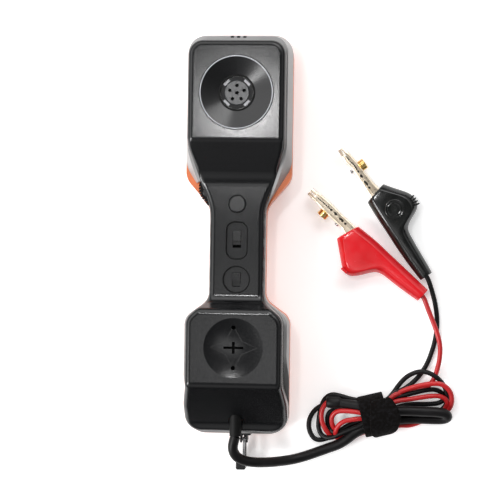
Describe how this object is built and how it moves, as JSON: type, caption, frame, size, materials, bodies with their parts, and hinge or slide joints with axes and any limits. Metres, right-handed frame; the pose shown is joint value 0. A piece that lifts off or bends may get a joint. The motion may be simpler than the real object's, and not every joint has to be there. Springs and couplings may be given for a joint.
{
  "type": "telephone lineman's test handset",
  "caption": "Hand-held telephone line test set with ear and mouth blocks, keypad on the back, snap hook, and a strapped hank of test leads ending in angled needle-bed clips.",
  "frame": {"origin": "on the surface the set lies on, under the middle of the box round the handset and its hook", "axes": "+Y from the mouth end to the ear end, +Z out of the front through the ear dish, +X to the side where the leads lie"},
  "size_m": [0.1807, 0.2908, 0.062],
  "materials": {
    "cover_black": "moulded, satin, finely textured",
    "band_grey": "moulded, satin",
    "shell_orange": "moulded, satin",
    "grille_grey": "moulded, fine grain",
    "control_black": "moulded, satin",
    "rubber": "moulded, matte",
    "steel": "plain",
    "board_green": "solder mask",
    "battery_case": "satin",
    "key_grey": "moulded, satin",
    "lead_black": "smooth vinyl",
    "lead_red": "smooth vinyl",
    "strap_black": "woven hook and loop",
    "boot_black": "soft vinyl, satin",
    "boot_red": "soft vinyl, satin",
    "jaw_plated": "nickel plated, worn",
    "brass": "turned"
  },
  "bodies": {
    "root": {"front_cover": "cover_black", "mid_band": "band_grey", "back_shell": "shell_orange", "receiver_driver": "steel", "receiver_ring": "cover_black", "receiver_tabs": "steel", "receiver_grille": "grille_grey", "mic_gasket": "rubber", "mic_capsule": "steel", "mute_switch": "control_black", "upper_switch": "steel", "lower_switch": "steel", "rocker_pin": "steel", "circuit_board": "board_green", "keypad_mat": "rubber", "keypad_board": "board_green", "battery": "battery_case", "battery_door": "shell_orange", "housing_screws": "steel", "belt_hook": "control_black", "hook_pin": "steel", "strain_relief": "rubber", "main_cord": "lead_black", "cord_hank": "lead_black", "hank_strap": "strap_black", "black_lead": "lead_black", "red_lead": "lead_red", "black_boot": "boot_black", "black_fixed_jaw": "jaw_plated", "black_jaw_pin": "steel", "black_jaw_spring": "steel", "black_wire_screw": "steel", "red_boot": "boot_red", "red_fixed_jaw": "jaw_plated", "red_jaw_pin": "steel", "red_jaw_spring": "steel"},
    "mute_button": {"mute_button": "control_black"},
    "upper_knob": {"upper_slide_knob": "control_black"},
    "lower_knob": {"lower_slide_knob": "control_black"},
    "rocker": {"side_rocker": "rubber"},
    "gate": {"hook_gate": "steel"},
    "black_jaw": {"black_moving_jaw": "jaw_plated", "black_needle_bed": "brass"},
    "red_jaw": {"red_moving_jaw": "jaw_plated", "red_needle_bed": "brass", "red_wire_screw": "steel"},
    "key_1": {"key_1": "key_grey"},
    "key_2": {"key_2": "key_grey"},
    "key_3": {"key_3": "key_grey"},
    "key_4": {"key_4": "key_grey"},
    "key_5": {"key_5": "key_grey"},
    "key_6": {"key_6": "key_grey"},
    "key_7": {"key_7": "key_grey"},
    "key_8": {"key_8": "key_grey"},
    "key_9": {"key_9": "key_grey"},
    "key_star": {"key_star": "key_grey"},
    "key_0": {"key_0": "key_grey"},
    "key_hash": {"key_hash": "key_grey"}
  },
  "joints": [
    {"name": "mute_press", "type": "slide", "parent": "root", "child": "mute_button", "axis": [0, 0, -1], "range_m": [0, 0.001], "stiffness_N_per_m": 900, "springref_m": -0.0012},
    {"name": "upper_slide", "type": "slide", "parent": "root", "child": "upper_knob", "axis": [0, -1, 0], "range_m": [0, 0.0044]},
    {"name": "lower_slide", "type": "slide", "parent": "root", "child": "lower_knob", "axis": [0, -1, 0], "range_m": [0, 0.0034]},
    {"name": "key_1_press", "type": "slide", "parent": "root", "child": "key_1", "axis": [0, 0, 1], "range_m": [0, 0.001], "stiffness_N_per_m": 700, "springref_m": -0.0014},
    {"name": "key_2_press", "type": "slide", "parent": "root", "child": "key_2", "axis": [0, 0, 1], "range_m": [0, 0.001], "stiffness_N_per_m": 700, "springref_m": -0.0014},
    {"name": "key_3_press", "type": "slide", "parent": "root", "child": "key_3", "axis": [0, 0, 1], "range_m": [0, 0.001], "stiffness_N_per_m": 700, "springref_m": -0.0014},
    {"name": "key_4_press", "type": "slide", "parent": "root", "child": "key_4", "axis": [0, 0, 1], "range_m": [0, 0.001], "stiffness_N_per_m": 700, "springref_m": -0.0014},
    {"name": "key_5_press", "type": "slide", "parent": "root", "child": "key_5", "axis": [0, 0, 1], "range_m": [0, 0.001], "stiffness_N_per_m": 700, "springref_m": -0.0014},
    {"name": "key_6_press", "type": "slide", "parent": "root", "child": "key_6", "axis": [0, 0, 1], "range_m": [0, 0.001], "stiffness_N_per_m": 700, "springref_m": -0.0014},
    {"name": "key_7_press", "type": "slide", "parent": "root", "child": "key_7", "axis": [0, 0, 1], "range_m": [0, 0.001], "stiffness_N_per_m": 700, "springref_m": -0.0014},
    {"name": "key_8_press", "type": "slide", "parent": "root", "child": "key_8", "axis": [0, 0, 1], "range_m": [0, 0.001], "stiffness_N_per_m": 700, "springref_m": -0.0014},
    {"name": "key_9_press", "type": "slide", "parent": "root", "child": "key_9", "axis": [0, 0, 1], "range_m": [0, 0.001], "stiffness_N_per_m": 700, "springref_m": -0.0014},
    {"name": "key_star_press", "type": "slide", "parent": "root", "child": "key_star", "axis": [0, 0, 1], "range_m": [0, 0.001], "stiffness_N_per_m": 700, "springref_m": -0.0014},
    {"name": "key_0_press", "type": "slide", "parent": "root", "child": "key_0", "axis": [0, 0, 1], "range_m": [0, 0.001], "stiffness_N_per_m": 700, "springref_m": -0.0014},
    {"name": "key_hash_press", "type": "slide", "parent": "root", "child": "key_hash", "axis": [0, 0, 1], "range_m": [0, 0.001], "stiffness_N_per_m": 700, "springref_m": -0.0014},
    {"name": "rocker_tilt", "type": "hinge", "parent": "root", "child": "rocker", "pos_m": [-0.02065, 0.0404, 0.037], "axis": [0, 0, 1], "range_deg": [-4, 4], "stiffness_Nm_per_rad": 0.02},
    {"name": "gate_swing", "type": "hinge", "parent": "root", "child": "gate", "pos_m": [0.0041, -0.125, 0.0134], "axis": [1, 0, 0], "range_deg": [0, 15], "stiffness_Nm_per_rad": 0.02, "springref_deg": -17.19},
    {"name": "black_jaw_open", "type": "hinge", "parent": "root", "child": "black_jaw", "pos_m": [0.0974, 0.03372, 0.007], "axis": [0, 0, -1], "range_deg": [0, 12], "stiffness_Nm_per_rad": 0.25, "springref_deg": -20.05},
    {"name": "red_jaw_open", "type": "hinge", "parent": "root", "child": "red_jaw", "pos_m": [0.0802, 0.00769, 0.007], "axis": [0, 0, 1], "range_deg": [0, 12], "stiffness_Nm_per_rad": 0.25, "springref_deg": -20.05}
  ]
}
